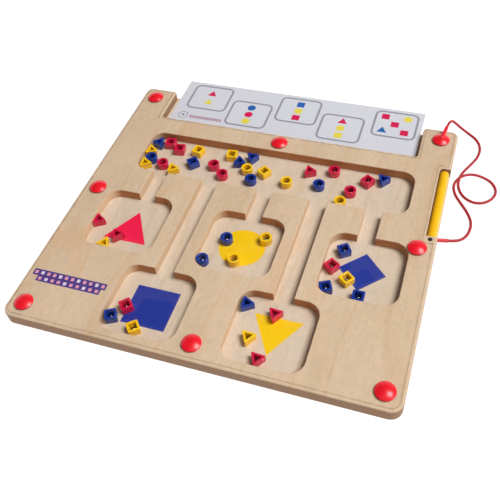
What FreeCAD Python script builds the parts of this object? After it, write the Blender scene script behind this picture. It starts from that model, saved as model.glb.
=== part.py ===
import FreeCAD, Part

import math
import os

from FreeCAD import Vector

# Magnetic wand maze board: a plywood tray with a pattern of chambers and channels, a clear
# cover, loose hollow counters with steel balls, a slide-in pattern card and a tethered wand.
# Frame: X along the front edge, Y towards the back, Z up, millimetres. The origin is the
# middle of the underside. Places on the board are given as x and as y from the front edge.

# ---- Board
BOARD_WIDTH = 400.0
BOARD_DEPTH = 374.0
BASE_THICK = 3.0
MAZE_THICK = 11.0
FRONT_CORNER = 12.0
BACK_CORNER = 8.0
TOP_ROUNDOVER = 2.0
MAZE_EDGE_BREAK = 0.4
BASE_EDGE_BREAK = 0.6

FRONT = -BOARD_DEPTH / 2
FLOOR = BASE_THICK
TOP = BASE_THICK + MAZE_THICK

# ---- Card notch in the back edge
NOTCH_HALF = 160.0
NOTCH_FRONT = 322.5
NOTCH_CORNER = 3.0
NOTCH_MOUTH = 4.0

# ---- Maze: five square chambers, a trough across the back and a channel from each chamber
CHAMBER = 81.5
CHAMBER_CORNER = 16.0
UPPER_ROW = 107.5
LOWER_ROW = 12.0
TROUGH = (-156.5, 164.5, 228.0, 294.0)
TROUGH_CORNER = 15.5
# left side of the chamber, its front side, left and right side of its channel
CHAMBERS = [
    (-167.0, UPPER_ROW, -131.5, -112.0),
    (-36.7, UPPER_ROW, -4.0, 15.5),
    (93.8, UPPER_ROW, 119.9, 139.0),
    (-101.0, LOWER_ROW, -70.5, -49.5),
    (26.0, LOWER_ROW, 57.2, 78.5),
]

# ---- Clear cover with its fasteners
COVER_THICK = 1.5
COVER_INSET = 3.0
COVER_EDGE_BREAK = 0.3
COVER_TOP = TOP + COVER_THICK
SCREW_SHANK = 3.8
SCREW_HOLE = 4.4
SCREW_HEAD = 8.0
SCREW_HEAD_HIGH = 2.2
SCREW_LONG = 9.0
SCREW_SOCKET = 3.0
INSERT_OUTER = 6.0
INSERT_BORE = 3.9
INSERT_LONG = 8.5
CAP_ACROSS = 19.5
CAP_HIGH = 4.0
CAP_RIM = 0.8
CAP_SOCKET = 8.4
CAP_SOCKET_DEEP = 2.6
CAP_SIDE = 182.0
CAP_ROWS = (18.0, 186.0, 355.0)
CAP_MIDDLE = (18.0, 307.0)

# ---- Pattern card
CARD_LEFT = -156.0
CARD_RIGHT = 157.0
CARD_FRONT = 323.0
CARD_BACK = 412.0
CARD_THICK = 1.0
CARD_CORNER = 2.0

# ---- Goal marks let into the floor of each chamber
MARK_THICK = 0.2

# ---- Counters
COUNTER_HIGH = 8.2
COUNTER_LIFT = 0.05
COUNTER_ROUND = 1.0
COUNTER_RIM = 0.4
RING_ACROSS = 13.4
RING_BORE = 8.6
SQUARE_SIDE = 12.3
SQUARE_BORE = 7.6
TRIANGLE_SIDE = 15.8
TRIANGLE_BORE = 8.3
BORE_DEEP = 5.4
BALL_ACROSS = 4.4

# ---- Wand in the groove of the right edge
WAND_ACROSS = 10.4
WAND_X = 193.6
WAND_Z = 8.3
WAND_TAIL = 206.8
WAND_TIP = 308.2
WAND_TIP_ROUND = 3.5
WAND_TAIL_BREAK = 0.5
WAND_BORE = 6.4
WAND_TIP_WALL = 5.0
MAGNET_ACROSS = 6.2
MAGNET_LONG = 14.0
PLUG_ACROSS = 6.2
PLUG_LONG = 8.0
GROOVE_LEFT = 188.0
GROOVE_FRONT = 206.0
GROOVE_BACK = 309.0
GROOVE_ROUND = 4.5
COVER_CLEARS_WAND = (186.0, 196.0, 312.0)
KEEPER_ACROSS = 5.0
KEEPER_HOLE = 5.1
KEEPER_AT = (192.7, 201.6)

# ---- Cord between the back right cap and the wand's tail, points in the part's own frame
CORD_ACROSS = 3.0
SLEEVE_ACROSS = 4.0
SPOUT_ROOT_ACROSS = 5.0
SPOUT_LONG = 17.5
SLEEVE_LONG = 13.0
ARC_SHARE = 0.45
CORD_ROUTE = [
    (185.4, 184.6, 21.4),
    (187.0, 193.6, 22.6),
    (190.6, 200.0, 19.6),
    (195.2, 203.4, 13.2),
    (202.0, 204.6, 6.6),
    (211.6, 201.4, 2.6),
    (221.5, 194.0, 1.7),
    (227.4, 181.0, 1.6),
    (226.8, 165.0, 1.6),
    (220.4, 149.7, 1.6),
    (213.1, 135.5, 1.6),
    (209.3, 120.5, 1.6),
    (211.5, 105.5, 1.6),
    (219.6, 93.4, 1.6),
    (232.5, 88.4, 1.6),
    (245.6, 94.8, 1.6),
    (252.4, 110.0, 1.6),
    (246.8, 124.4, 1.8),
    (235.6, 129.4, 3.8),
    (223.0, 127.6, 7.8),
    (211.4, 120.6, 8.6),
    (204.7, 108.4, 6.2),
    (208.0, 97.0, 2.6),
    (216.4, 85.5, 1.6),
    (225.2, 72.8, 1.6),
    (230.9, 59.5, 1.6),
    (230.4, 46.0, 1.6),
    (226.4, 35.6, 1.6),
    (219.2, 29.4, 2.0),
    (210.8, 26.6, 3.5),
]

# ---- Where each counter lies: x, y from the front edge, turn in degrees about its middle
RED_RINGS = [(-128, 247.4, 0), (-67, 259.2, 0), (-52, 246.4, 0), (72.8, 282.5, 0), (97.5, 255, 0)]
BLUE_RINGS = [(-145.1, 253.6, 0), (-16.9, 246.3, 0), (61.1, 256.4, 0), (-13.9, 154.7, 0),
              (-29.2, 121, 0)]
YELLOW_RINGS = [(-26.3, 262, 0), (24.2, 252.2, 0), (90.2, 236.4, 0), (27, 164.8, 0), (3, 129, 0)]
RED_SQUARES = [(-132.2, 283.7, 4), (-117.2, 276, 8), (113, 275.3, -32), (102.8, 147, 56),
               (-82.6, 45.6, 44)]
BLUE_SQUARES = [(-92.8, 257.4, 45), (110.4, 170.3, 34), (103.4, 118.8, 25), (136.9, 115.5, 0),
                (-92.4, 30.6, 28)]
YELLOW_SQUARES = [(-93.7, 278, -13), (-51.4, 280.4, 6), (-5.3, 261.9, 57), (121.2, 134.2, 51),
                  (-64.4, 23.2, 40)]
RED_TRIANGLES = [(45.7, 275.1, -90), (-162, 144.5, -90), (-132.3, 129.4, 168), (64.6, 74.4, 176),
                 (62.8, 22.2, 176)]
BLUE_TRIANGLES = [(-146.4, 280.4, 98), (-38.7, 271, 18), (-26.2, 281.7, 182), (129.9, 281.3, 172),
                  (34, 79.2, -86)]
YELLOW_TRIANGLES = [(-150.4, 265.1, 22), (-148.8, 242.3, -85), (-112.5, 241.2, -85), (-140.9, 114, -6),
                    (47.2, 42.7, 178)]


def place(x, from_front, z):
    """A point of the board, given its distance from the front edge."""
    return Vector(x, FRONT + from_front, z)


def block(x0, x1, y0, y1, z0, z1):
    """A box between two corners of the board, y measured from the front edge."""
    return Part.makeBox(x1 - x0, y1 - y0, z1 - z0, place(x0, y0, z0))


def upright_edges(solid, x=None, y=None):
    """The vertical edges of a solid, or only those at one x or one y from the front edge."""
    found = []
    for edge in solid.Edges:
        box = edge.BoundBox
        if box.ZLength < 0.5 or box.XLength > 0.01 or box.YLength > 0.01:
            continue
        if x is not None and abs(abs(box.XMin) - x) > 0.01:
            continue
        if y is not None and abs(box.YMin - (FRONT + y)) > 0.01:
            continue
        found.append(edge)
    return found


def level_edges(solid, z):
    """The edges of a solid that lie at one height."""
    return [e for e in solid.Edges if e.BoundBox.ZLength < 0.01 and abs(e.BoundBox.ZMin - z) < 0.01]


def round_block(x0, x1, y0, y1, z0, z1, radius):
    """A box with its four vertical edges rounded."""
    plain = block(x0, x1, y0, y1, z0, z1)
    return plain.makeFillet(radius, upright_edges(plain))


def column(across, x, from_front, z0, z1):
    """An upright cylinder."""
    return Part.makeCylinder(across / 2, z1 - z0, place(x, from_front, z0))


def joined(shapes):
    """Several shapes made into one."""
    whole = shapes[0].fuse(shapes[1:])
    return whole.removeSplitter()


def prism(points, height, radius=0.0):
    """A straight prism on a polygon, its vertical edges rounded by the radius."""
    outline = Part.makePolygon(points + [points[0]])
    solid = Part.Face(outline).extrude(Vector(0, 0, height))
    if radius > 0:
        solid = solid.makeFillet(radius, upright_edges(solid))
    return solid


def triangle(side, height, radius=0.0):
    """An equilateral prism about the origin with its apex towards +Y."""
    reach = side / math.sqrt(3)
    angles = [math.radians(90 + 120 * corner) for corner in range(3)]
    points = [Vector(reach * math.cos(a), reach * math.sin(a), 0) for a in angles]
    return prism(points, height, radius)


def square(side, height, radius=0.0):
    """A square prism about the origin."""
    half = side / 2
    corners = [Vector(-half, -half, 0), Vector(half, -half, 0), Vector(half, half, 0), Vector(-half, half, 0)]
    return prism(corners, height, radius)


def moved(shape, x, from_front, z, turn=0.0):
    """A shape made about the origin, turned about Z and put on the board."""
    there = shape.copy()
    there.Placement = FreeCAD.Placement(place(x, from_front, z), FreeCAD.Rotation(Vector(0, 0, 1), turn))
    return there


def save(name, shape):
    """Write one sub-part and say how large it is."""
    shape.exportStep("parts/" + name + ".step")
    print(f"{name:20s} solids {len(shape.Solids)}  volume {shape.Volume:10.1f}  valid {shape.isValid()}")


def board_outline(z0, z1, inset=0.0):
    """The board's plan with its rounded corners, from z0 to z1, smaller all round by the inset."""
    half = BOARD_WIDTH / 2 - inset
    front = inset
    back = BOARD_DEPTH - inset
    plain = block(-half, half, front, back, z0, z1)
    rounded = plain.makeFillet(FRONT_CORNER - inset, upright_edges(plain, y=front))
    return rounded.makeFillet(BACK_CORNER - inset, upright_edges(rounded, y=back))


def fixing_points():
    """The middles of the eight cover screws; the last one is under the cord's cap."""
    sides = [(side * CAP_SIDE, row) for row in CAP_ROWS for side in (-1, 1)]
    middles = [(0.0, row) for row in CAP_MIDDLE]
    anchor = (CAP_SIDE, CAP_ROWS[-1])
    return [p for p in sides + middles if p != anchor] + [anchor]


def maze_space(z0, z1):
    """The open space of the maze: trough, chambers and channels in one shape."""
    x0, x1, y0, y1 = TROUGH
    spaces = [round_block(x0, x1, y0, y1, z0, z1, TROUGH_CORNER)]
    for left, front, channel_left, channel_right in CHAMBERS:
        back = front + CHAMBER
        spaces.append(round_block(left, left + CHAMBER, front, back, z0, z1, CHAMBER_CORNER))
        middle_of_chamber = front + CHAMBER / 2
        middle_of_trough = (y0 + y1) / 2
        spaces.append(block(channel_left, channel_right, middle_of_chamber, middle_of_trough, z0, z1))
    return joined(spaces)


def wand_groove():
    """The groove's space: open at the board's side, with one rounded inner corner at each end."""
    beyond = BOARD_WIDTH / 2 + 5
    plain = block(GROOVE_LEFT, beyond, GROOVE_FRONT, GROOVE_BACK, FLOOR, TOP)
    behind = FRONT + GROOVE_FRONT + 1
    back_corner = [e for e in upright_edges(plain, x=GROOVE_LEFT) if e.BoundBox.YMin > behind]
    return plain.makeFillet(GROOVE_ROUND, back_corner)


def goal_marks():
    """The coloured marks in the chambers' floors, flush with the floor."""
    z = FLOOR - MARK_THICK
    disc = Part.makeCylinder(25.0, MARK_THICK)
    return [
        moved(triangle(50.5, MARK_THICK), -124.5, 141.6, z),
        moved(disc, 4.4, 150.4, z),
        moved(square(34.6, MARK_THICK), 133.5, 150.8, z, 45.0),
        moved(square(47.0, MARK_THICK), -59.5, 52.8, z),
        moved(triangle(50.0, MARK_THICK), 68.6, 59.9, z, 180.0),
    ]


def base_panel():
    """The thin back board; it runs on under the notch and the groove as their floor."""
    panel = board_outline(0.0, FLOOR)
    panel = panel.makeChamfer(BASE_EDGE_BREAK, level_edges(panel, 0.0))
    return panel.cut(goal_marks())


def maze_panel():
    """The thick layer with the maze cut through it, rounded over along its outer top edge."""
    panel = board_outline(FLOOR, TOP)
    panel = panel.cut(block(-NOTCH_HALF, NOTCH_HALF, NOTCH_FRONT, BOARD_DEPTH + 5, FLOOR, TOP))
    panel = panel.makeFillet(NOTCH_CORNER, upright_edges(panel, x=NOTCH_HALF, y=NOTCH_FRONT))
    panel = panel.makeFillet(NOTCH_MOUTH, upright_edges(panel, x=NOTCH_HALF, y=BOARD_DEPTH))
    panel = panel.makeFillet(TOP_ROUNDOVER, level_edges(panel, TOP))
    panel = panel.cut(maze_space(FLOOR, TOP))
    maze_rim = [e for e in level_edges(panel, TOP) if inside_maze_rim(e)]
    panel = panel.makeChamfer(MAZE_EDGE_BREAK, maze_rim)
    panel = panel.cut(wand_groove())
    holes = [column(INSERT_OUTER + 0.1, x, y, TOP - INSERT_LONG, TOP) for x, y in fixing_points()]
    holes.append(column(KEEPER_HOLE, KEEPER_AT[0], KEEPER_AT[1], FLOOR, TOP))
    return panel.cut(holes)


def inside_maze_rim(edge):
    """True for the top edges of the maze, which lie well inside the board's outline."""
    box = edge.BoundBox
    clear_of_sides = max(abs(box.XMin), abs(box.XMax)) < BOARD_WIDTH / 2 - 10
    clear_of_front = box.YMin > FRONT + LOWER_ROW - 1
    clear_of_notch = box.YMax < FRONT + NOTCH_FRONT - 10
    return clear_of_sides and clear_of_front and clear_of_notch


def clear_cover():
    """The acrylic sheet over the maze, cut away at the card notch and at the wand."""
    sheet = board_outline(TOP, COVER_TOP, COVER_INSET)
    wall = NOTCH_HALF + COVER_INSET
    sheet = sheet.cut(block(-wall, wall, NOTCH_FRONT - COVER_INSET, BOARD_DEPTH, TOP, COVER_TOP))
    wand_left, wand_front, wand_back = COVER_CLEARS_WAND
    sheet = sheet.cut(block(wand_left, BOARD_WIDTH / 2, wand_front, wand_back, TOP, COVER_TOP))
    sheet = sheet.makeChamfer(COVER_EDGE_BREAK, level_edges(sheet, COVER_TOP))
    return sheet.cut([column(SCREW_HOLE, x, y, TOP, COVER_TOP) for x, y in fixing_points()])


def cover_screw(x, from_front):
    """A cheese-head screw with a hexagon socket, its head on the cover."""
    head_top = COVER_TOP + SCREW_HEAD_HIGH
    head = column(SCREW_HEAD, x, from_front, COVER_TOP, head_top)
    shank = column(SCREW_SHANK, x, from_front, COVER_TOP - SCREW_LONG, COVER_TOP)
    angles = [math.radians(60 * corner) for corner in range(6)]
    hexagon = [Vector(SCREW_SOCKET / 2 * math.cos(a), SCREW_SOCKET / 2 * math.sin(a), 0) for a in angles]
    socket = moved(prism(hexagon, SCREW_HEAD_HIGH / 2), x, from_front, head_top - SCREW_HEAD_HIGH / 2)
    return joined([head, shank]).cut(socket)


def threaded_insert(x, from_front):
    """A brass sleeve in the maze panel that takes the cover screw."""
    outer = column(INSERT_OUTER, x, from_front, TOP - INSERT_LONG, TOP)
    return outer.cut(column(INSERT_BORE, x, from_front, TOP - INSERT_LONG, TOP))


def cap_body(x, from_front):
    """A low dome with a short upright rim and a socket below that grips the screw's head."""
    radius = CAP_ACROSS / 2
    rise = CAP_HIGH - CAP_RIM
    sphere_radius = (radius ** 2 + rise ** 2) / (2 * rise)
    sphere = Part.makeSphere(sphere_radius, place(x, from_front, COVER_TOP + CAP_HIGH - sphere_radius))
    dome = column(CAP_ACROSS, x, from_front, COVER_TOP, COVER_TOP + CAP_HIGH).common(sphere)
    return dome.cut(column(CAP_SOCKET, x, from_front, COVER_TOP, COVER_TOP + CAP_SOCKET_DEEP))


def cord_anchor_cap():
    """The back right cap: the same dome with a tapered spout that the cord comes out of."""
    x, from_front = fixing_points()[-1]
    mouth = Vector(*CORD_ROUTE[0])
    outward = (Vector(*CORD_ROUTE[1]) - mouth).normalize()
    root = mouth - outward * SPOUT_LONG
    spout = Part.makeCone(SPOUT_ROOT_ACROSS / 2, SLEEVE_ACROSS / 2, SPOUT_LONG, root, outward)
    knuckle = Part.makeSphere(SPOUT_ROOT_ACROSS / 2, root)
    socket = column(CAP_SOCKET, x, from_front, COVER_TOP, COVER_TOP + CAP_SOCKET_DEEP)
    return joined([cap_body(x, from_front), spout, knuckle]).cut(socket)


def pattern_card():
    """The stiff card that lies on the ledge and stands out past the back edge."""
    z = FLOOR
    return round_block(CARD_LEFT, CARD_RIGHT, CARD_FRONT, CARD_BACK, z, z + CARD_THICK, CARD_CORNER)


def along_wand(across, start, end):
    """A cylinder on the wand's axis between two distances from the front edge."""
    return Part.makeCylinder(across / 2, end - start, place(WAND_X, start, WAND_Z), Vector(0, 1, 0))


def wand_barrel():
    """The wand's tube: round at the magnet's end, flat at the tail, bored from the tail."""
    barrel = along_wand(WAND_ACROSS, WAND_TAIL, WAND_TIP)
    rims = [e for e in barrel.Edges if e.BoundBox.YLength < 0.01]
    tip = [e for e in rims if e.BoundBox.YMin > FRONT + WAND_TAIL + 1]
    barrel = barrel.makeFillet(WAND_TIP_ROUND, tip)
    tail = [e for e in barrel.Edges if e.BoundBox.YMax < FRONT + WAND_TAIL + 0.01]
    barrel = barrel.makeChamfer(WAND_TAIL_BREAK, tail)
    return barrel.cut(along_wand(WAND_BORE, WAND_TAIL, WAND_TIP - WAND_TIP_WALL))


def wand_magnet():
    """The magnet at the closed end of the wand's bore."""
    end = WAND_TIP - WAND_TIP_WALL
    return along_wand(MAGNET_ACROSS, end - MAGNET_LONG, end)


def wand_tail_plug():
    """The plug that closes the wand's bore, flush with the tail."""
    return along_wand(PLUG_ACROSS, WAND_TAIL, WAND_TAIL + PLUG_LONG)


def cord_sleeve():
    """The sleeve on the cord where it enters the side of the wand's tail."""
    mouth = Vector(*CORD_ROUTE[-1])
    outward = (Vector(*CORD_ROUTE[-2]) - mouth).normalize()
    root = mouth - outward * (SLEEVE_LONG + WAND_ACROSS / 4)
    sleeve = Part.makeCylinder(SLEEVE_ACROSS / 2, SLEEVE_LONG + WAND_ACROSS / 4, root, outward)
    return sleeve.cut(along_wand(WAND_ACROSS, WAND_TAIL - 20, WAND_TIP))


def cord_path(points):
    """Straight runs joined by arcs that touch both; also prints the arcs' radii."""
    corners = [Vector(*p) for p in points]
    edges = []
    radii = []
    here = corners[0]
    for before, corner, after in zip(corners, corners[1:], corners[2:]):
        back = before - corner
        ahead = after - corner
        reach = ARC_SHARE * min(back.Length, ahead.Length)
        half_turn = (math.pi - back.getAngle(ahead)) / 2
        radius = reach / math.tan(half_turn)
        start = corner + back.normalize() * reach
        end = corner + ahead.normalize() * reach
        bisector = (back + ahead).normalize()
        middle = corner + bisector * (radius / math.cos(half_turn) - radius)
        edges.append(Part.LineSegment(here, start).toShape())
        edges.append(Part.Arc(start, middle, end).toShape())
        radii.append(round(radius, 1))
        here = end
    edges.append(Part.LineSegment(here, corners[-1]).toShape())
    print("cord radii", radii)
    return Part.Wire(edges)


def wand_cord():
    """The free cord, one round tube along its whole route."""
    path = cord_path(CORD_ROUTE)
    start = Vector(*CORD_ROUTE[0])
    direction = Vector(*CORD_ROUTE[1]) - start
    section = Part.Wire([Part.makeCircle(CORD_ACROSS / 2, start, direction)])
    tube = path.makePipeShell([section], True, True)
    expected = math.pi * (CORD_ACROSS / 2) ** 2 * path.Length
    print(f"cord length {path.Length:.1f}  volume {tube.Volume:.1f}  expected {expected:.1f}")
    return tube


def counter(outer, bore):
    """A hollow counter about the origin, a steel ball pressed half way into the floor of its bore."""
    bore_floor = Vector(0, 0, COUNTER_HIGH - BORE_DEEP)
    bore.translate(bore_floor)
    shell = outer.cut(bore)
    shell = shell.makeFillet(COUNTER_RIM, level_edges(shell, 0.0) + level_edges(shell, COUNTER_HIGH))
    ball = Part.makeSphere(BALL_ACROSS / 2, bore_floor)
    return Part.makeCompound([shell.cut(ball), ball])


def save_counters():
    """Every counter in its own node, named by colour, shape and number."""
    ring_outside = Part.makeCylinder(RING_ACROSS / 2, COUNTER_HIGH)
    ring = counter(ring_outside, Part.makeCylinder(RING_BORE / 2, BORE_DEEP))
    tile = counter(square(SQUARE_SIDE, COUNTER_HIGH, COUNTER_ROUND), square(SQUARE_BORE, BORE_DEEP))
    wedge = counter(triangle(TRIANGLE_SIDE, COUNTER_HIGH, COUNTER_ROUND), triangle(TRIANGLE_BORE, BORE_DEEP))
    sets = [
        ("red_ring", ring, RED_RINGS),
        ("blue_ring", ring, BLUE_RINGS),
        ("yellow_ring", ring, YELLOW_RINGS),
        ("red_square", tile, RED_SQUARES),
        ("blue_square", tile, BLUE_SQUARES),
        ("yellow_square", tile, YELLOW_SQUARES),
        ("red_triangle", wedge, RED_TRIANGLES),
        ("blue_triangle", wedge, BLUE_TRIANGLES),
        ("yellow_triangle", wedge, YELLOW_TRIANGLES),
    ]
    for name, shape, places in sets:
        for number, (x, from_front, turn) in enumerate(places, start=1):
            save(f"{name}_{number}", moved(shape, x, from_front, FLOOR + COUNTER_LIFT, turn))


os.makedirs("parts", exist_ok=True)

fixings = fixing_points()
save("base_panel", base_panel())
save("maze_panel", maze_panel())
save("clear_cover", clear_cover())
save("cover_screws", Part.makeCompound([cover_screw(x, y) for x, y in fixings]))
save("threaded_inserts", Part.makeCompound([threaded_insert(x, y) for x, y in fixings]))
save("screw_caps", Part.makeCompound([cap_body(x, y) for x, y in fixings[:-1]]))
save("cord_anchor_cap", cord_anchor_cap())
save("goal_marks", Part.makeCompound(goal_marks()))
save("pattern_card", pattern_card())
save("wand_barrel", wand_barrel())
save("wand_magnet", wand_magnet())
save("wand_tail_plug", wand_tail_plug())
save("wand_keeper", column(KEEPER_ACROSS, KEEPER_AT[0], KEEPER_AT[1], FLOOR, TOP))
save("cord_sleeve", cord_sleeve())
save("wand_cord", wand_cord())
save_counters()
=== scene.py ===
import math

import bmesh
import bpy
from mathutils import Matrix, Vector


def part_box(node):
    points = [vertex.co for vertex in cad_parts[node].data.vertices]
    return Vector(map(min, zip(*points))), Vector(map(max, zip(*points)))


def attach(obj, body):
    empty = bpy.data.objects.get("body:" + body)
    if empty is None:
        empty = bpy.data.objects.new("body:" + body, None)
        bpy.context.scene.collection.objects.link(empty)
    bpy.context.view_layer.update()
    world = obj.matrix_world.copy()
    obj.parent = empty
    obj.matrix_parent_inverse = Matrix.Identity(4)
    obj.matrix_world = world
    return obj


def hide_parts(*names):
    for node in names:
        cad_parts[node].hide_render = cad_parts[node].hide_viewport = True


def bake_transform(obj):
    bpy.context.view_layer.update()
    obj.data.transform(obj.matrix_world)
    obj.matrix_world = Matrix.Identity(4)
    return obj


# Magnetic wand maze board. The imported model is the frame; this script gives it its looks.
# Metres, X along the front edge, Y to the back, Z up, origin at the middle of the underside.

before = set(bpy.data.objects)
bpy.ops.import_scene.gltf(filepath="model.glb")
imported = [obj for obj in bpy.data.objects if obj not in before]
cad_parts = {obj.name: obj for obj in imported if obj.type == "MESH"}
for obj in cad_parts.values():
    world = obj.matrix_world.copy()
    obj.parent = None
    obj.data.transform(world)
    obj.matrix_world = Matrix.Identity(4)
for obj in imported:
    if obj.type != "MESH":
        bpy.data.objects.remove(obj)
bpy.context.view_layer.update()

MM = 0.001
BOARD_LOW, BOARD_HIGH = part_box("maze_panel")
BASE_LOW, BASE_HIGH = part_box("base_panel")
COVER_LOW, COVER_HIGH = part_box("clear_cover")
CARD_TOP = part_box("pattern_card")[1][2]
MARKS_LOW, MARKS_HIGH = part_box("goal_marks")
WOOD_TOP = BOARD_HIGH[2]
FLOOR = BASE_HIGH[2]
FRONT = BOARD_LOW[1]
PRINT_THICK = 0.04 * MM
COLOURS = ("red", "yellow", "blue")


# ---------------------------------------------------------------- camera and cord

# The camera's lens in millimetres, its place in metres and its turn in degrees.
CAMERA_LENS = 48.45
CAMERA_PLACE = (0.1955, -0.4596, 0.5495)
CAMERA_TURN = (39.88, 4.28, 18.19)


def make_camera():
    """The photograph's view, from the front right and about 50 degrees down."""
    data = bpy.data.cameras.new("camera")
    data.lens = CAMERA_LENS
    data.sensor_width = 36.0
    data.clip_start = 0.01
    data.clip_end = 20.0
    camera = bpy.data.objects.new("camera", data)
    camera.location = CAMERA_PLACE
    camera.rotation_euler = [math.radians(angle) for angle in CAMERA_TURN]
    bpy.context.scene.collection.objects.link(camera)
    bpy.context.scene.camera = camera


CORD_ACROSS = 3.0 * MM
CORD_ROUTE = [
    (0.1854, 0.1846, 0.0214),
    (0.1870, 0.1936, 0.0226),
    (0.1906, 0.2000, 0.0196),
    (0.1952, 0.2034, 0.0132),
    (0.2020, 0.2046, 0.0066),
    (0.2116, 0.2014, 0.0026),
    (0.2215, 0.1940, 0.0017),
    (0.2274, 0.1810, 0.0016),
    (0.2268, 0.1650, 0.0016),
    (0.2204, 0.1497, 0.0016),
    (0.2131, 0.1355, 0.0016),
    (0.2093, 0.1205, 0.0016),
    (0.2115, 0.1055, 0.0016),
    (0.2196, 0.0934, 0.0016),
    (0.2325, 0.0884, 0.0016),
    (0.2456, 0.0948, 0.0016),
    (0.2524, 0.1100, 0.0016),
    (0.2468, 0.1244, 0.0018),
    (0.2356, 0.1294, 0.0038),
    (0.2230, 0.1276, 0.0078),
    (0.2114, 0.1206, 0.0086),
    (0.2047, 0.1084, 0.0062),
    (0.2080, 0.0970, 0.0026),
    (0.2164, 0.0855, 0.0016),
    (0.2252, 0.0728, 0.0016),
    (0.2309, 0.0595, 0.0016),
    (0.2304, 0.0460, 0.0016),
    (0.2264, 0.0356, 0.0016),
    (0.2192, 0.0294, 0.0020),
    (0.2108, 0.0266, 0.0035),
]
CORD_SIDES = 16
CORD_STEPS = 12


def route_line():
    """Points along the smooth curve whose control points are the route's points."""
    curve = bpy.data.curves.new("cord_line", "CURVE")
    curve.dimensions = "3D"
    spline = curve.splines.new("NURBS")
    spline.points.add(len(CORD_ROUTE) - 1)
    for point, place in zip(spline.points, CORD_ROUTE):
        point.co = (*place, 1.0)
    spline.order_u = 3
    spline.use_endpoint_u = True
    spline.resolution_u = CORD_STEPS
    holder = bpy.data.objects.new("cord_line", curve)
    bpy.context.scene.collection.objects.link(holder)
    line = bpy.data.meshes.new_from_object(holder)
    points = [vertex.co.copy() for vertex in line.vertices]
    bpy.data.objects.remove(holder)
    bpy.data.curves.remove(curve)
    bpy.data.meshes.remove(line)
    return points


def tube_mesh(name, points, radius, sides):
    """A closed round tube along a line, its rings carried along without twist."""
    mesh = bmesh.new()
    turned = None
    rings = []
    tangent_before = None
    for index, point in enumerate(points):
        ahead = points[min(index + 1, len(points) - 1)]
        behind = points[max(index - 1, 0)]
        tangent = (ahead - behind).normalized()
        if turned is None:
            turned = tangent.orthogonal().normalized()
        else:
            turned = tangent_before.rotation_difference(tangent) @ turned
        tangent_before = tangent
        other = tangent.cross(turned)
        ring = []
        for step in range(sides):
            angle = 2 * math.pi * step / sides
            outward = math.cos(angle) * turned + math.sin(angle) * other
            ring.append(mesh.verts.new(point + radius * outward))
        rings.append(ring)
    for ring, following in zip(rings, rings[1:]):
        for step in range(sides):
            after = (step + 1) % sides
            mesh.faces.new((ring[step], ring[after], following[after], following[step]))
    mesh.faces.new(list(reversed(rings[0])))
    mesh.faces.new(rings[-1])
    return finish_mesh(name, mesh)


def finish_mesh(name, mesh, smooth=True):
    """A bmesh made into an object with outward faces."""
    bmesh.ops.recalc_face_normals(mesh, faces=mesh.faces[:])
    data = bpy.data.meshes.new(name)
    mesh.to_mesh(data)
    mesh.free()
    for polygon in data.polygons:
        polygon.use_smooth = smooth
    piece = bpy.data.objects.new(name, data)
    bpy.context.scene.collection.objects.link(piece)
    return piece


def make_cord(material):
    """The free cord from the anchor cap to the sleeve on the wand."""
    line = route_line()
    cord = tube_mesh("cord", line, CORD_ACROSS / 2, CORD_SIDES)
    cord.data.materials.append(material)
    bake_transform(cord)
    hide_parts("wand_cord")


# ---------------------------------------------------------------- materials

def new_material(name):
    """A node material with only its shader and output; returns the pieces to build on."""
    material = bpy.data.materials.new(name)
    material.use_nodes = True
    nodes = material.node_tree.nodes
    shader = nodes["Principled BSDF"]
    return material, nodes, material.node_tree.links, shader


def noise(nodes, links, vector, scale, detail=4.0, roughness=0.55):
    """A noise texture on the given coordinates."""
    node = nodes.new("ShaderNodeTexNoise")
    node.inputs["Scale"].default_value = scale
    node.inputs["Detail"].default_value = detail
    node.inputs["Roughness"].default_value = roughness
    links.new(vector, node.inputs["Vector"])
    return node.outputs["Fac"]


def ramp(nodes, links, value, stops):
    """A colour ramp: stops are (position, colour)."""
    node = nodes.new("ShaderNodeValToRGB")
    elements = node.color_ramp.elements
    while len(elements) < len(stops):
        elements.new(0.5)
    for element, (position, colour) in zip(elements, stops):
        element.position = position
        element.color = (*colour, 1.0)
    links.new(value, node.inputs["Fac"])
    return node.outputs["Color"]


def mix(nodes, links, factor, first, second, blend="MIX"):
    """Two colours mixed; the factor is a socket or a number."""
    node = nodes.new("ShaderNodeMix")
    node.data_type = "RGBA"
    node.blend_type = blend
    sources = (("Factor", factor), ("A", first), ("B", second))
    for socket_name, source in sources:
        socket = node.inputs[socket_name]
        if isinstance(source, (int, float)):
            socket.default_value = source
        elif isinstance(source, tuple):
            socket.default_value = (*source, 1.0)
        else:
            links.new(source, socket)
    return node.outputs["Result"]


def arithmetic(nodes, links, operation, first, second=0.0, third=0.0):
    """One math node; each input is a socket or a number."""
    node = nodes.new("ShaderNodeMath")
    node.operation = operation
    for socket, source in zip(node.inputs, (first, second, third)):
        if isinstance(source, (int, float)):
            socket.default_value = source
        else:
            links.new(source, socket)
    return node.outputs["Value"]


def place_of(nodes, links, scale=(1.0, 1.0, 1.0)):
    """Object coordinates, stretched per axis."""
    coordinates = nodes.new("ShaderNodeTexCoord")
    mapping = nodes.new("ShaderNodeMapping")
    mapping.inputs["Scale"].default_value = scale
    links.new(coordinates.outputs["Object"], mapping.inputs["Vector"])
    return mapping.outputs["Vector"]


def position_and_normal(nodes, links):
    """The object coordinates and the normal, each split into its three parts."""
    geometry = nodes.new("ShaderNodeNewGeometry")
    position = nodes.new("ShaderNodeSeparateXYZ")
    normal = nodes.new("ShaderNodeSeparateXYZ")
    coordinates = nodes.new("ShaderNodeTexCoord")
    links.new(coordinates.outputs["Object"], position.inputs["Vector"])
    links.new(geometry.outputs["Normal"], normal.inputs["Vector"])
    return position.outputs, normal.outputs


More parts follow.
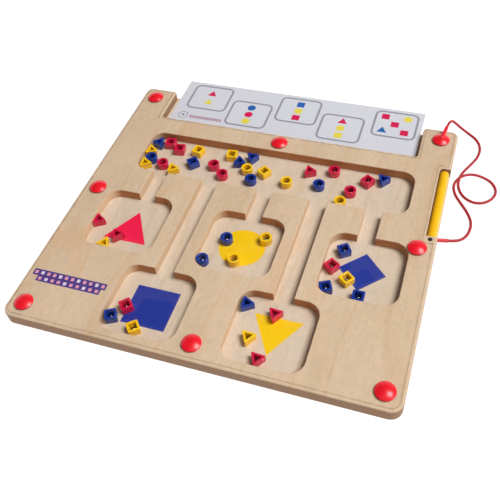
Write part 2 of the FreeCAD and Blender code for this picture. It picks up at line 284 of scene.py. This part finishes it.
def bump(nodes, links, shader, height, strength, distance):
    """A bump from a height socket on the shader's normal."""
    node = nodes.new("ShaderNodeBump")
    node.inputs["Strength"].default_value = strength
    node.inputs["Distance"].default_value = distance
    links.new(height, node.inputs["Height"])
    links.new(node.outputs["Normal"], shader.inputs["Normal"])


TOP_PALE = (0.650, 0.495, 0.350)
TOP_WARM = (0.590, 0.435, 0.290)
FLOOR_PALE = (0.69, 0.57, 0.45)
FLOOR_WARM = (0.65, 0.52, 0.39)
BIRCH_BLUSH = (1.0, 0.90, 0.80)
RING_LINE = (0.97, 0.94, 0.89)
BIRCH_EDGE_PALE = (0.36, 0.21, 0.12)
BIRCH_EDGE_DARK = (0.24, 0.13, 0.07)
SIDE_GRAIN = (0.74, 0.53, 0.34)
LEFT_WALL_SHADE = (0.40, 0.18, 0.080)
END_GRAIN_AND_SHADE = (0.47, 0.180, 0.060)
# The maze's walls by the way they face: to the left, darkened as painted shade; to the front or back, end
# grain darkened partly as painted shade; to the right, the plain side grain.
WALL_GRAIN_AND_SHADE = [(0.12, LEFT_WALL_SHADE), (0.37, END_GRAIN_AND_SHADE), (0.62, END_GRAIN_AND_SHADE), (0.87, SIDE_GRAIN)]
PLY_LAYER = 1.4 * MM
PLY_WANDER = 0.4 * MM
WHITE = (1.0, 1.0, 1.0)
BLACK = (0.0, 0.0, 0.0)
ROUTED_SIDE = 187.0 * MM
ROUTED_FRONT = FRONT + 8.0 * MM
ROUTED_BACK = FRONT + 310.0 * MM


def birch_plywood(name, pale, warm):
    """Birch plywood: faint grain along Y, glued layers on the outer edges, browner walls in the maze,
    their darkness partly painted shade set by the way they face.
    """
    material, nodes, links, shader = new_material(name)
    fine = noise(nodes, links, place_of(nodes, links, (1.0, 0.08, 1.0)), 800.0, 3.0)
    broad = noise(nodes, links, place_of(nodes, links, (1.0, 0.22, 1.0)), 30.0, 4.0)
    cloud = noise(nodes, links, place_of(nodes, links, (1.0, 0.45, 1.0)), 26.0, 2.0)
    face = ramp(nodes, links, broad, [(0.30, warm), (0.62, pale)])
    blush = ramp(nodes, links, cloud, [(0.58, WHITE), (0.74, BIRCH_BLUSH)])
    face = mix(nodes, links, 1.0, face, blush, "MULTIPLY")
    grain = ramp(nodes, links, fine, [(0.35, (0.95, 0.94, 0.92)), (0.65, (1.03, 1.03, 1.03))])
    face = mix(nodes, links, 0.7, face, grain, "MULTIPLY")

    mottle = noise(nodes, links, place_of(nodes, links, (1.0, 0.6, 1.0)), 240.0, 2.0)
    spots = ramp(nodes, links, mottle, [(0.35, (0.95, 0.95, 0.95)), (0.65, (1.04, 1.03, 1.02))])
    face = mix(nodes, links, 0.8, face, spots, "MULTIPLY")
    rings = nodes.new("ShaderNodeTexWave")
    rings.wave_type = "BANDS"
    rings.bands_direction = "X"
    rings.inputs["Scale"].default_value = 7.0
    rings.inputs["Distortion"].default_value = 9.0
    rings.inputs["Detail"].default_value = 2.0
    rings.inputs["Detail Scale"].default_value = 1.3
    links.new(place_of(nodes, links, (1.0, 0.25, 1.0)), rings.inputs["Vector"])
    lines = ramp(nodes, links, rings.outputs["Fac"], [(0.955, WHITE), (0.995, RING_LINE)])
    face = mix(nodes, links, 1.0, face, lines, "MULTIPLY")

    position, normal = position_and_normal(nodes, links)

    wander = noise(nodes, links, place_of(nodes, links, (1.0, 1.0, 0.0)), 14.0, 2.0)
    height = arithmetic(nodes, links, "MULTIPLY_ADD", wander, PLY_WANDER, position["Z"])
    layer = arithmetic(nodes, links, "PINGPONG", height, PLY_LAYER)
    layer = arithmetic(nodes, links, "DIVIDE", layer, PLY_LAYER)
    edge = ramp(nodes, links, layer, [(0.30, BIRCH_EDGE_DARK), (0.70, BIRCH_EDGE_PALE)])
    fibres = noise(nodes, links, place_of(nodes, links, (1.0, 1.0, 4.0)), 260.0, 3.0)
    fibre_shade = ramp(nodes, links, fibres, [(0.3, (0.86, 0.84, 0.82)), (0.7, (1.08, 1.08, 1.08))])

    across = arithmetic(nodes, links, "ABSOLUTE", position["X"])
    inner_x = arithmetic(nodes, links, "LESS_THAN", across, ROUTED_SIDE)
    inner_front = arithmetic(nodes, links, "GREATER_THAN", position["Y"], ROUTED_FRONT)
    inner_back = arithmetic(nodes, links, "LESS_THAN", position["Y"], ROUTED_BACK)
    inner = arithmetic(nodes, links, "MULTIPLY", inner_x, inner_front)
    inner = arithmetic(nodes, links, "MULTIPLY", inner, inner_back)
    # Painted shade: the maze's walls darken by the way they face, most where they face left, away from
    # the key light; the end grain is darkened partly.
    facing = arithmetic(nodes, links, "MULTIPLY_ADD", normal["X"], 0.5, 0.5)
    walls_and_shade = ramp(nodes, links, facing, WALL_GRAIN_AND_SHADE)
    edge = mix(nodes, links, arithmetic(nodes, links, "MULTIPLY", inner, 0.85), edge, walls_and_shade)
    edge = mix(nodes, links, 0.6, edge, fibre_shade, "MULTIPLY")

    upward = arithmetic(nodes, links, "ABSOLUTE", normal["Z"])
    sideways = ramp(nodes, links, upward, [(0.35, WHITE), (0.85, BLACK)])
    colour = mix(nodes, links, sideways, face, edge)
    links.new(colour, shader.inputs["Base Color"])
    shader.inputs["Roughness"].default_value = 0.55
    shader.inputs["Specular IOR Level"].default_value = 0.2
    bump(nodes, links, shader, fine, 0.18, 0.05 * MM)
    return material


def moulded_plastic(name, colour, roughness=0.16, mottling=0.08):
    """A glossy moulding: faint flow marks in the colour and a very fine surface."""
    material, nodes, links, shader = new_material(name)
    place = place_of(nodes, links)
    flow = noise(nodes, links, place, 120.0, 3.0)
    darker = tuple(channel * (1.0 - mottling) for channel in colour)
    lighter = tuple(min(1.0, channel * (1.0 + mottling)) for channel in colour)
    links.new(ramp(nodes, links, flow, [(0.35, darker), (0.65, lighter)]), shader.inputs["Base Color"])
    shader.inputs["Roughness"].default_value = roughness
    shader.inputs["Specular IOR Level"].default_value = 0.45
    bump(nodes, links, shader, noise(nodes, links, place, 900.0, 2.0), 0.06, 0.05 * MM)
    return material


BORE_SHADE = 0.3
BORE_SHADE_TOP = FLOOR + 5.0 * MM


def counter_plastic(name, colour):
    """The counters' plastic: the glossy moulding, its bores' floors darkened as painted shade."""
    material = moulded_plastic(name, colour)
    nodes, links = material.node_tree.nodes, material.node_tree.links
    shader = nodes["Principled BSDF"]
    plain = shader.inputs["Base Color"].links[0].from_socket
    position, normal = position_and_normal(nodes, links)
    # Painted shade: upward faces inside the bore, below the rim height, get a darkened copy of the
    # colour.
    below_rim = arithmetic(nodes, links, "LESS_THAN", position["Z"], BORE_SHADE_TOP)
    level = arithmetic(nodes, links, "GREATER_THAN", normal["Z"], 0.7)
    painted_shade_mask = arithmetic(nodes, links, "MULTIPLY", below_rim, level)
    dim = tuple(BORE_SHADE * channel for channel in colour)
    links.new(mix(nodes, links, painted_shade_mask, plain, dim), shader.inputs["Base Color"])
    return material


def printed_ink(name, colour):
    """Flat ink with slight unevenness."""
    material, nodes, links, shader = new_material(name)
    place = place_of(nodes, links)
    patchy = noise(nodes, links, place, 260.0, 4.0)
    darker = tuple(channel * 0.93 for channel in colour)
    links.new(ramp(nodes, links, patchy, [(0.3, darker), (0.7, colour)]), shader.inputs["Base Color"])
    shader.inputs["Roughness"].default_value = 0.5
    shader.inputs["Specular IOR Level"].default_value = 0.2
    return material


def metal(name, colour, roughness, brushed_scale=(1.0, 1.0, 30.0)):
    """Metal with fine directional marks."""
    material, nodes, links, shader = new_material(name)
    marks = noise(nodes, links, place_of(nodes, links, brushed_scale), 500.0, 3.0)
    darker = tuple(channel * 0.82 for channel in colour)
    links.new(ramp(nodes, links, marks, [(0.3, darker), (0.7, colour)]), shader.inputs["Base Color"])
    shader.inputs["Metallic"].default_value = 1.0
    shader.inputs["Roughness"].default_value = roughness
    bump(nodes, links, shader, marks, 0.1, 0.03 * MM)
    return material


def card_stock():
    """Coated card: a light grey face with a barely visible fibre."""
    material, nodes, links, shader = new_material("card_face")
    fibre = noise(nodes, links, place_of(nodes, links), 500.0, 4.0)
    face = ramp(nodes, links, fibre, [(0.3, (0.60, 0.605, 0.66)), (0.7, (0.65, 0.655, 0.71))])
    links.new(face, shader.inputs["Base Color"])
    shader.inputs["Roughness"].default_value = 0.45
    bump(nodes, links, shader, fibre, 0.05, 0.03 * MM)
    return material


CORD_DARK = (0.31, 0.005, 0.010)
CORD_BRIGHT = (0.52, 0.010, 0.020)


def braided_red():
    """The cord: fine slanting strands on a matt red."""
    material, nodes, links, shader = new_material("cord_braid")
    place = place_of(nodes, links)
    wave = nodes.new("ShaderNodeTexWave")
    wave.wave_type = "BANDS"
    wave.bands_direction = "DIAGONAL"
    wave.inputs["Scale"].default_value = 420.0
    wave.inputs["Distortion"].default_value = 1.5
    links.new(place, wave.inputs["Vector"])
    strands = ramp(nodes, links, wave.outputs["Fac"], [(0.2, CORD_DARK), (0.8, CORD_BRIGHT)])
    links.new(strands, shader.inputs["Base Color"])
    shader.inputs["Roughness"].default_value = 0.6
    bump(nodes, links, shader, wave.outputs["Fac"], 0.35, 0.12 * MM)
    return material


def clear_sheet(name, colour, alpha):
    """Clear acrylic, seen only as a faint reflection and at its edges."""
    material, nodes, links, shader = new_material(name)
    haze = noise(nodes, links, place_of(nodes, links), 40.0, 2.0)
    duller = tuple(0.97 * channel for channel in colour)
    tint = ramp(nodes, links, haze, [(0.4, duller), (0.6, colour)])
    links.new(tint, shader.inputs["Base Color"])
    shader.inputs["Roughness"].default_value = 0.02
    shader.inputs["Transmission Weight"].default_value = 1.0
    shader.inputs["Alpha"].default_value = alpha
    return material


RED_PLASTIC = (0.64, 0.010, 0.060)
YELLOW_PLASTIC = (0.92, 0.55, 0.008)
BLUE_PLASTIC = (0.010, 0.040, 0.30)
RED_INK = (0.90, 0.012, 0.075)
YELLOW_INK = (0.93, 0.58, 0.004)
BLUE_INK = (0.016, 0.036, 0.30)


def make_materials():
    """Every material by the name that the pieces use."""
    return {
        "birch_top": birch_plywood("birch_top", TOP_PALE, TOP_WARM),
        "birch_floor": birch_plywood("birch_floor", FLOOR_PALE, FLOOR_WARM),
        "cap_red": moulded_plastic("cap_plastic", (0.78, 0.008, 0.020), 0.30, 0.03),
        "sleeve_red": moulded_plastic("sleeve_plastic", (0.60, 0.012, 0.025), 0.4, 0.06),
        "wand_yellow": moulded_plastic("wand_plastic", (0.88, 0.47, 0.004), 0.30, 0.05),
        "counter_red": counter_plastic("red_plastic", RED_PLASTIC),
        "counter_yellow": counter_plastic("yellow_plastic", YELLOW_PLASTIC),
        "counter_blue": counter_plastic("blue_plastic", BLUE_PLASTIC),
        "ink_red": printed_ink("ink_red", RED_INK),
        "ink_yellow": printed_ink("ink_yellow", YELLOW_INK),
        "ink_blue": printed_ink("ink_blue", BLUE_INK),
        "card_red": printed_ink("card_red", (0.64, 0.008, 0.080)),
        "card_yellow": printed_ink("card_yellow", (0.76, 0.64, 0.070)),
        "card_blue": printed_ink("card_blue", (0.020, 0.120, 0.400)),
        "card_grey": printed_ink("card_grey", (0.30, 0.30, 0.34)),
        "card_text": printed_ink("card_text", (0.42, 0.20, 0.28)),
        "card_badge": printed_ink("card_badge", (0.22, 0.22, 0.26)),
        "label_purple": printed_ink("label_purple", (0.085, 0.045, 0.23)),
        "label_pink": printed_ink("label_pink", (0.72, 0.32, 0.40)),
        "label_white": printed_ink("label_white", (0.72, 0.62, 0.74)),
        "card": card_stock(),
        "cord": braided_red(),
        "acrylic": clear_sheet("acrylic", (1.0, 1.0, 1.0), 0.03),
        # Painted shade: a brown see-through tint on the strip along the sheet's cut edge, for the dark
        # shadow line there.
        "acrylic_edge_shade": clear_sheet("acrylic_edge_shade", (0.36, 0.25, 0.15), 0.16),
        "zinc": metal("zinc_plate", (0.60, 0.61, 0.63), 0.35),
        "brass": metal("turned_brass", (0.72, 0.54, 0.24), 0.3),
        "nickel": metal("nickel_plate", (0.70, 0.69, 0.66), 0.2),
        # Painted shade: the balls' steel is darkened and browned to match the shaded bores around them.
        "shaded_ball_steel": metal("shaded_ball_steel", (0.26, 0.21, 0.17), 0.20, (1.0, 1.0, 1.0)),
        "keeper": metal("keeper_metal", (0.13, 0.12, 0.13), 0.38),
    }


def dress_cad_nodes(materials):
    """The CAD nodes that stay visible get their finished materials."""
    finish = {
        "base_panel": "birch_floor",
        "maze_panel": "birch_top",
        "screw_caps": "cap_red",
        "cord_anchor_cap": "cap_red",
        "cover_screws": "zinc",
        "threaded_inserts": "brass",
        "pattern_card": "card",
        "wand_barrel": "wand_yellow",
        "wand_tail_plug": "wand_yellow",
        "wand_magnet": "nickel",
        "wand_keeper": "keeper",
        "cord_sleeve": "sleeve_red",
    }
    for name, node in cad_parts.items():
        colour = name.split("_")[0]
        if name in finish:
            chosen = finish[name]
        elif colour in COLOURS:
            chosen = "counter_" + colour
        else:
            continue
        for slot in node.material_slots:
            slot.material = materials[chosen]


# A counter stands a hair above the board's floor; its bore ends at the counter's own floor.
COUNTER_LIFT = 0.05 * MM
COUNTER_FLOOR = 2.8 * MM
BORE_FLOOR = FLOOR + COUNTER_LIFT + COUNTER_FLOOR
BALL_ACROSS = 4.4 * MM
BALL_SKIN = 0.02 * MM


def make_balls(materials):
    """The bright top half of the steel ball in every counter's bore."""
    radius = BALL_ACROSS / 2 + BALL_SKIN
    for name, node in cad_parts.items():
        if name.split("_")[0] not in COLOURS:
            continue
        corners = [node.matrix_world @ vertex.co for vertex in node.data.vertices]
        inside = [point for point in corners if BORE_FLOOR + MM < point.z < BORE_FLOOR + radius + MM]
        centre = max(inside, key=lambda point: point.z)
        mesh = bmesh.new()
        turn = Matrix.Translation((centre.x, centre.y, BORE_FLOOR))
        bmesh.ops.create_uvsphere(mesh, u_segments=24, v_segments=16, radius=radius, matrix=turn)
        low = [vertex for vertex in mesh.verts if vertex.co.z < BORE_FLOOR - 0.1 * MM]
        bmesh.ops.delete(mesh, geom=low, context="VERTS")
        rim = [edge for edge in mesh.edges if edge.is_boundary]
        bmesh.ops.contextual_create(mesh, geom=rim)
        ball = finish_mesh(name + "_ball", mesh)
        ball.data.materials.append(materials["shaded_ball_steel"])
        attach(ball, name + "_counter")


# ---------------------------------------------------------------- flat prints

def polygon_slab(name, outline, low, high, material):
    """A flat piece: an outline in x and y, from one height to another."""
    mesh = bmesh.new()
    bottom = [mesh.verts.new((x, y, low)) for x, y in outline]
    top = [mesh.verts.new((x, y, high)) for x, y in outline]
    mesh.faces.new(list(reversed(bottom)))
    mesh.faces.new(top)
    count = len(outline)
    for index in range(count):
        after = (index + 1) % count
        mesh.faces.new((bottom[index], bottom[after], top[after], top[index]))
    piece = finish_mesh(name, mesh, smooth=False)
    piece.data.materials.append(material)
    return piece


def ring_slab(name, outer, inner, low, high, material):
    """A flat frame between two outlines with the same number of points."""
    mesh = bmesh.new()
    loops = []
    for outline in (outer, inner):
        for height in (low, high):
            loops.append([mesh.verts.new((x, y, height)) for x, y in outline])
    outer_low, outer_high, inner_low, inner_high = loops
    around = [outer_low, outer_high, inner_high, inner_low, outer_low]
    count = len(outer)
    for index in range(count):
        after = (index + 1) % count
        for first, second in zip(around, around[1:]):
            mesh.faces.new((first[index], first[after], second[after], second[index]))
    piece = finish_mesh(name, mesh, smooth=False)
    piece.data.materials.append(material)
    return piece


def turned(outline, x, y, degrees=0.0):
    """An outline turned about its origin and moved to a place."""
    angle = math.radians(degrees)
    across, along = math.cos(angle), math.sin(angle)
    return [(x + px * across - py * along, y + px * along + py * across) for px, py in outline]


def round_rectangle(width, depth, radius, steps=6):
    """The outline of a rectangle with rounded corners about the origin."""
    outline = []
    for corner, (side_x, side_y) in enumerate(((1, 1), (-1, 1), (-1, -1), (1, -1))):
        centre_x = side_x * (width / 2 - radius)
        centre_y = side_y * (depth / 2 - radius)
        for step in range(steps + 1):
            angle = math.pi / 2 * (corner + step / steps)
            outline.append((centre_x + radius * math.cos(angle), centre_y + radius * math.sin(angle)))
    return outline


def regular(corners, reach, first=90.0):
    """A regular polygon about the origin, its first corner at the given angle."""
    angles = [math.radians(first + 360.0 * corner / corners) for corner in range(corners)]
    return [(reach * math.cos(angle), reach * math.sin(angle)) for angle in angles]


def triangle_outline(side):
    """An equilateral triangle with a corner to the back."""
    return regular(3, side / math.sqrt(3))


def square_outline(side):
    """A square with its sides along X and Y."""
    return regular(4, side / math.sqrt(2), 45.0)


def circle_outline(across):
    """A circle, as a polygon of many corners."""
    return regular(48, across / 2)


def make_goal_marks(materials):
    """The coloured marks on the chambers' floors, in the shallow pockets of the base panel."""
    marks = [
        ("goal_red_triangle", triangle_outline(50.5 * MM), -124.5, 141.6, 0.0, "ink_red"),
        ("goal_yellow_disc", regular(96, 25.0 * MM), 4.4, 150.4, 0.0, "ink_yellow"),
        ("goal_blue_diamond", square_outline(34.6 * MM), 133.5, 150.8, 45.0, "ink_blue"),
        ("goal_blue_square", square_outline(47.0 * MM), -59.5, 52.8, 0.0, "ink_blue"),
        ("goal_yellow_triangle", triangle_outline(50.0 * MM), 68.6, 59.9, 180.0, "ink_yellow"),
    ]
    for name, outline, x, from_front, degrees, ink in marks:
        place = turned(outline, x * MM, FRONT + from_front * MM, degrees)
        piece = polygon_slab(name, place, MARKS_LOW[2], MARKS_HIGH[2], materials[ink])
        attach(piece, "board")
        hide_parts("goal_marks")


# The frames' width, depth and corner radius outside and inside. Their places and those of the
# symbols and the heading are millimetres across from the middle and back from the front edge.
FRAME_OUTER = (54.2, 48.7, 8.1)
FRAME_INNER = (48.8, 43.3, 5.4)
FRAME_PLACES = [(-117.5, 383.0), (-58.0, 362.5), (2.0, 383.0), (61.0, 362.5), (124.5, 383.0)]
CARD_SHAPES = [
    ("triangle", "card_red", -117.5, 391.0),
    ("triangle", "card_yellow", -117.5, 374.0),
    ("circle", "card_blue", -58.0, 375.5),
    ("circle", "card_red", -58.0, 362.0),
    ("circle", "card_yellow", -58.0, 349.0),
    ("square", "card_blue", 2.0, 395.5),
    ("circle", "card_yellow", 2.0, 382.5),
    ("square", "card_red", 2.0, 369.5),
    ("triangle", "card_red", 61.0, 375.0),
    ("circle", "card_yellow", 61.0, 362.5),
    ("square", "card_yellow", 61.0, 349.0),
    ("square", "card_red", 110.5, 396.5),
    ("circle", "card_yellow", 138.0, 396.5),
    ("square", "card_red", 124.0, 383.5),
    ("triangle", "card_blue", 110.5, 370.0),
    ("square", "card_red", 137.5, 370.5),
]
CARD_CIRCLE = 10.5 * MM
CARD_TRIANGLE = 1.12 * CARD_CIRCLE
CARD_SQUARE = 0.92 * CARD_CIRCLE
BADGE_PLACE = (-141.0, 343.6)
BADGE_ACROSS = 12.8 * MM
BADGE_RING = 0.8 * MM
BADGE_DOT = 0.28 * BADGE_ACROSS
HEADING_FROM = -132.0
HEADING_TO = -88.0
HEADING_FROM_FRONT = 342.2
HEADING_BLOCKS = 13
HEADING_FILL = 0.66
HEADING_HIGH = 5.4 * MM
HEADING_ROUND = 0.6 * MM


def make_card_print(materials):
    """The card's five frames with their coloured patterns."""
    low = CARD_TOP
    high = low + PRINT_THICK
    for number, (x, from_front) in enumerate(FRAME_PLACES, start=1):
        centre = (x * MM, FRONT + from_front * MM)
        outer = turned(round_rectangle(*(size * MM for size in FRAME_OUTER)), *centre)
        inner = turned(round_rectangle(*(size * MM for size in FRAME_INNER)), *centre)
        piece = ring_slab(f"card_frame_{number}", outer, inner, low, high, materials["card_grey"])
        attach(piece, "card")
    outlines = {
        "triangle": triangle_outline(CARD_TRIANGLE),
        "circle": circle_outline(CARD_CIRCLE),
        "square": square_outline(CARD_SQUARE),
    }
    for number, (shape, ink, x, from_front) in enumerate(CARD_SHAPES, start=1):
        place = turned(outlines[shape], x * MM, FRONT + from_front * MM)
        piece = polygon_slab(f"card_{shape}_{number}", place, low, high, materials[ink])
        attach(piece, "card")
    make_card_heading(materials, low, high)


def make_card_heading(materials, low, high):
    """A plain round badge and a row of plain blocks where a card carries its heading."""
    badge_x = BADGE_PLACE[0] * MM
    badge_y = FRONT + BADGE_PLACE[1] * MM
    rim = turned(circle_outline(BADGE_ACROSS), badge_x, badge_y)
    hole = turned(circle_outline(BADGE_ACROSS - 2 * BADGE_RING), badge_x, badge_y)
    dot = turned(circle_outline(BADGE_DOT), badge_x, badge_y)
    pieces = [
        ring_slab("card_badge", rim, hole, low, high, materials["card_badge"]),
        polygon_slab("card_badge_dot", dot, low, high, materials["card_badge"]),
    ]
    width = (HEADING_TO - HEADING_FROM) / HEADING_BLOCKS
    outline = round_rectangle(width * HEADING_FILL * MM, HEADING_HIGH, HEADING_ROUND, 3)
    for block in range(HEADING_BLOCKS):
        x = (HEADING_FROM + width * (block + 0.5)) * MM
        place = turned(outline, x, FRONT + HEADING_FROM_FRONT * MM)
        pieces.append(polygon_slab(f"card_heading_{block + 1}", place, low, high, materials["card_text"]))
    for piece in pieces:
        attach(piece, "card")


# ---------------------------------------------------------------- label

# Each row: left end, right end, distance from the front edge, number of tiles, height in millimetres.
LABEL_ROWS = [
    (-193.0, -109.0, 57.0, 12, 8.0),
    (-186.0, -113.0, 50.0, 10, 7.5),
]
LABEL_OVERLAP = 1.06
LABEL_ROUND = 1.2 * MM
LABEL_PATCH = 0.50
LABEL_PATCH_ROUND = 0.7 * MM
LABEL_PATCH_TURN = 8.0
LABEL_LIFT = 0.005 * MM
LABEL_TILE_THICK = 0.02 * MM
PATCH_LOW = 0.03 * MM
PATCH_HIGH = 0.05 * MM


def make_label(materials):
    """A generic two-row label of plain tiles printed on the wood; it carries no lettering."""
    low = WOOD_TOP + LABEL_LIFT
    for row, (left, right, from_front, tiles, height) in enumerate(LABEL_ROWS, start=1):
        width = (right - left) / tiles
        middle_y = FRONT + from_front * MM
        backing = round_rectangle(width * LABEL_OVERLAP * MM, height * MM, LABEL_ROUND)
        inset = round_rectangle(width * LABEL_PATCH * MM, height * LABEL_PATCH * MM, LABEL_PATCH_ROUND)
        for tile in range(tiles):
            x = (left + width * (tile + 0.5)) * MM
            # Overlapping tiles differ a little in height, and each row has a bottom of its own.
            step = row * 0.002 * MM
            top = low + LABEL_TILE_THICK + (row * 0.004 + 0.001 * (tile % 2)) * MM
            name = f"label_tile_{row}_{tile + 1}"
            place = turned(backing, x, middle_y)
            under = polygon_slab(name, place, low + step, top, materials["label_purple"])
            ink = "label_pink" if tile % 3 != 1 else "label_white"
            place = turned(inset, x, middle_y, LABEL_PATCH_TURN)
            name = f"label_patch_{row}_{tile + 1}"
            over = polygon_slab(name, place, low + PATCH_LOW, low + PATCH_HIGH, materials[ink])
            for piece in (under, over):
                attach(piece, "board")


# ---------------------------------------------------------------- clear cover

# The notch's side walls and its front, and the left side, front and back of the cut at the wand.
NOTCH_WALL = 163.0 * MM
NOTCH_START = FRONT + 319.5 * MM
WAND_CUT = (186.0 * MM, FRONT + 196.0 * MM, FRONT + 312.0 * MM)
COVER_GAP = 0.05 * MM
COVER_RIM = 0.8 * MM
COVER_FRONT_ROUND = 9.0 * MM
COVER_BACK_ROUND = 5.0 * MM


def cover_outline(inset):
    """The outline of the sheet, cut away round the card notch and the wand, drawn in by an inset."""
    left, front = COVER_LOW[0] + inset, COVER_LOW[1] + inset
    right, back = COVER_HIGH[0] - inset, COVER_HIGH[1] - inset
    cut_x, cut_front, cut_back = WAND_CUT[0] - inset, WAND_CUT[1] - inset, WAND_CUT[2] + inset
    wall, start = NOTCH_WALL + inset, NOTCH_START - inset
    outline = corner_arc(left, front, COVER_FRONT_ROUND - inset, 180.0, 270.0)
    outline += corner_arc(right, front, COVER_FRONT_ROUND - inset, 270.0, 360.0)
    outline += [(right, cut_front), (cut_x, cut_front), (cut_x, cut_back), (right, cut_back)]
    outline += corner_arc(right, back, COVER_BACK_ROUND - inset, 0.0, 90.0)
    outline += [(wall, back), (wall, start), (-wall, start), (-wall, back)]
    outline += corner_arc(left, back, COVER_BACK_ROUND - inset, 90.0, 180.0)
    return outline


def make_cover(materials):
    """The acrylic sheet and, round it, the narrow strip tinted brown as painted shade where its cut edge
    shows darker.
    """
    low, high = COVER_LOW[2] + COVER_GAP, COVER_HIGH[2]
    inner = cover_outline(COVER_RIM + COVER_GAP)
    cover = polygon_slab("cover_sheet", inner, low, high, materials["acrylic"])
    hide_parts("clear_cover")
    rim = (cover_outline(0.0), cover_outline(COVER_RIM))
    edge = ring_slab("cover_edge", *rim, low, high, materials["acrylic_edge_shade"])
    for piece in (cover, edge):
        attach(piece, "board")


def corner_arc(x, y, radius, start, end, steps=8):
    """The rounded corner of an outline that turns anticlockwise; x and y are the sharp corner."""
    middle = math.radians((start + end) / 2)
    centre_x = x - radius * math.copysign(1, math.cos(middle))
    centre_y = y - radius * math.copysign(1, math.sin(middle))
    arc = []
    for step in range(steps + 1):
        angle = math.radians(start + (end - start) * step / steps)
        arc.append((centre_x + radius * math.cos(angle), centre_y + radius * math.sin(angle)))
    return arc


# ---------------------------------------------------------------- stage

STAGE = 6.0
STAGE_WALL = 2.4
STAGE_BELOW = 0.2 * MM
STAGE_GREY = (0.20, 0.20, 0.20, 1.0)
STAGE_GLOW = 0.92
SKY_COLOUR = (1.0, 0.80, 0.64, 1.0)
SKY_STRENGTH = 0.04


def make_stage():
    """A white floor with low white walls far off, a large soft light from the right, a dim sky."""
    mesh = bmesh.new()
    corners = [(-STAGE, -STAGE), (STAGE, -STAGE), (STAGE, STAGE), (-STAGE, STAGE)]
    low = [mesh.verts.new((x, y, BASE_LOW[2] - STAGE_BELOW)) for x, y in corners]
    high = [mesh.verts.new((x, y, STAGE_WALL)) for x, y in corners]
    mesh.faces.new(low)
    for side in range(4):
        after = (side + 1) % 4
        mesh.faces.new((low[side], low[after], high[after], high[side]))
    floor = finish_mesh("floor", mesh, smooth=False)
    material, _, _, shader = new_material("white_floor")
    shader.inputs["Base Color"].default_value = STAGE_GREY
    shader.inputs["Roughness"].default_value = 0.9
    shader.inputs["Specular IOR Level"].default_value = 0.1
    shader.inputs["Emission Color"].default_value = (1.0, 1.0, 1.0, 1.0)
    shader.inputs["Emission Strength"].default_value = STAGE_GLOW
    floor.data.materials.append(material)

    world = bpy.data.worlds.new("studio")
    bpy.context.scene.world = world
    world.use_nodes = True
    background = world.node_tree.nodes["Background"]
    background.inputs["Color"].default_value = SKY_COLOUR
    background.inputs["Strength"].default_value = SKY_STRENGTH
    add_area("key_light", (2.60, 0.38, 4.50), 2.3, 290.0)
    add_area("front_light", (0.25, -0.90, 1.50), 1.0, 2.0)
    bpy.context.scene.view_settings.view_transform = "Standard"


def add_area(name, place, size, power):
    """A square soft light pointed at the middle of the board."""
    data = bpy.data.lights.new(name, "AREA")
    data.size = size
    data.energy = power
    light = bpy.data.objects.new(name, data)
    light.location = place
    light.rotation_euler = Vector(place).to_track_quat("Z", "Y").to_euler()
    bpy.context.scene.collection.objects.link(light)


make_camera()
materials = make_materials()
make_cord(materials["cord"])
dress_cad_nodes(materials)
make_balls(materials)
make_goal_marks(materials)
make_card_print(materials)
make_label(materials)
make_cover(materials)
make_stage()
